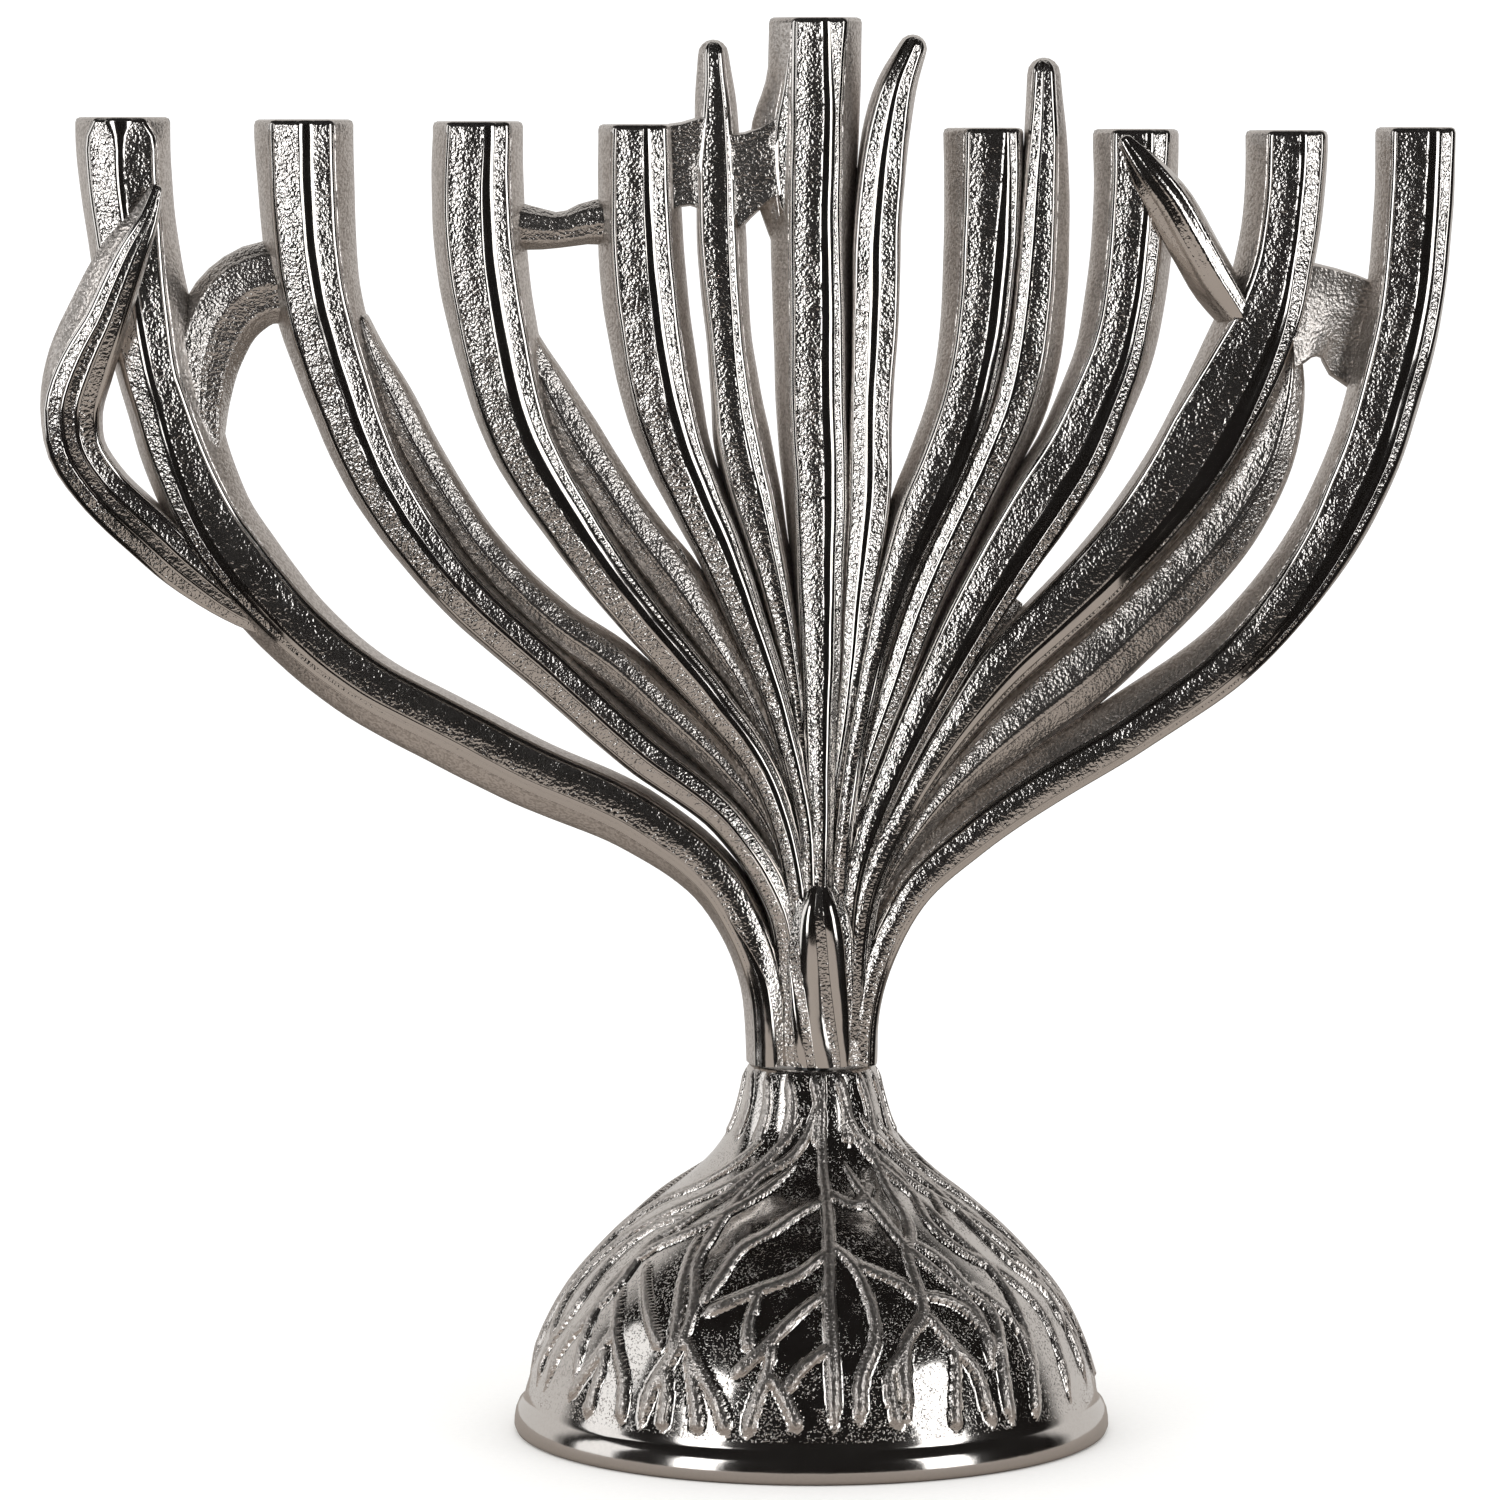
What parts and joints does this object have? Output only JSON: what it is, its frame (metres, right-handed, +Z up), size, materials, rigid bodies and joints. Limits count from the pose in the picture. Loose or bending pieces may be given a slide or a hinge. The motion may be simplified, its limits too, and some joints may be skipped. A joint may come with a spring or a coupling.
{
  "type": "menorah",
  "caption": "Tree-shaped Hanukkah menorah: fluted candle tubes, twigs and leaves fan out of one trunk on a hollow domed base with roots in relief.",
  "frame": {"origin": "on the floor under the middle of the object's overall width; the trunk's axis is at x = +11.2 mm, because the leaf on the left makes the object wider on that side", "axes": "+X to the right as seen from the front, +Y to the back, +Z up; the fan of branches lies in the XZ plane"},
  "size_m": [0.2392, 0.1018, 0.2405],
  "materials": {
    "branch_casting": "nickel-plated sand casting: polished ridges and edges, satin side faces, granular flutes as cast",
    "base_casting": "nickel-plated sand casting: polished rim and ground, granular raised roots, bare cast hollow",
    "steel_hardware": "zinc-plated steel"
  },
  "bodies": {
    "root": {"base_dome": "base_casting", "plain_washer": "steel_hardware", "spring_washer": "steel_hardware", "draw_screw": "steel_hardware", "trunk_fan": "branch_casting", "branch_far_left": "branch_casting", "branch_left_outer": "branch_casting", "branch_left_middle": "branch_casting", "branch_left_inner": "branch_casting", "branch_shamash": "branch_casting", "branch_right_inner": "branch_casting", "branch_right_middle": "branch_casting", "branch_right_outer": "branch_casting", "branch_far_right": "branch_casting", "twig_left": "branch_casting", "twig_middle": "branch_casting", "twig_right": "branch_casting", "leaf_left": "branch_casting", "leaf_right": "branch_casting", "bridge_left": "branch_casting", "bridge_far_left": "branch_casting", "web_left": "branch_casting", "web_centre": "branch_casting", "bridge_right": "branch_casting"}
  },
  "joints": []
}
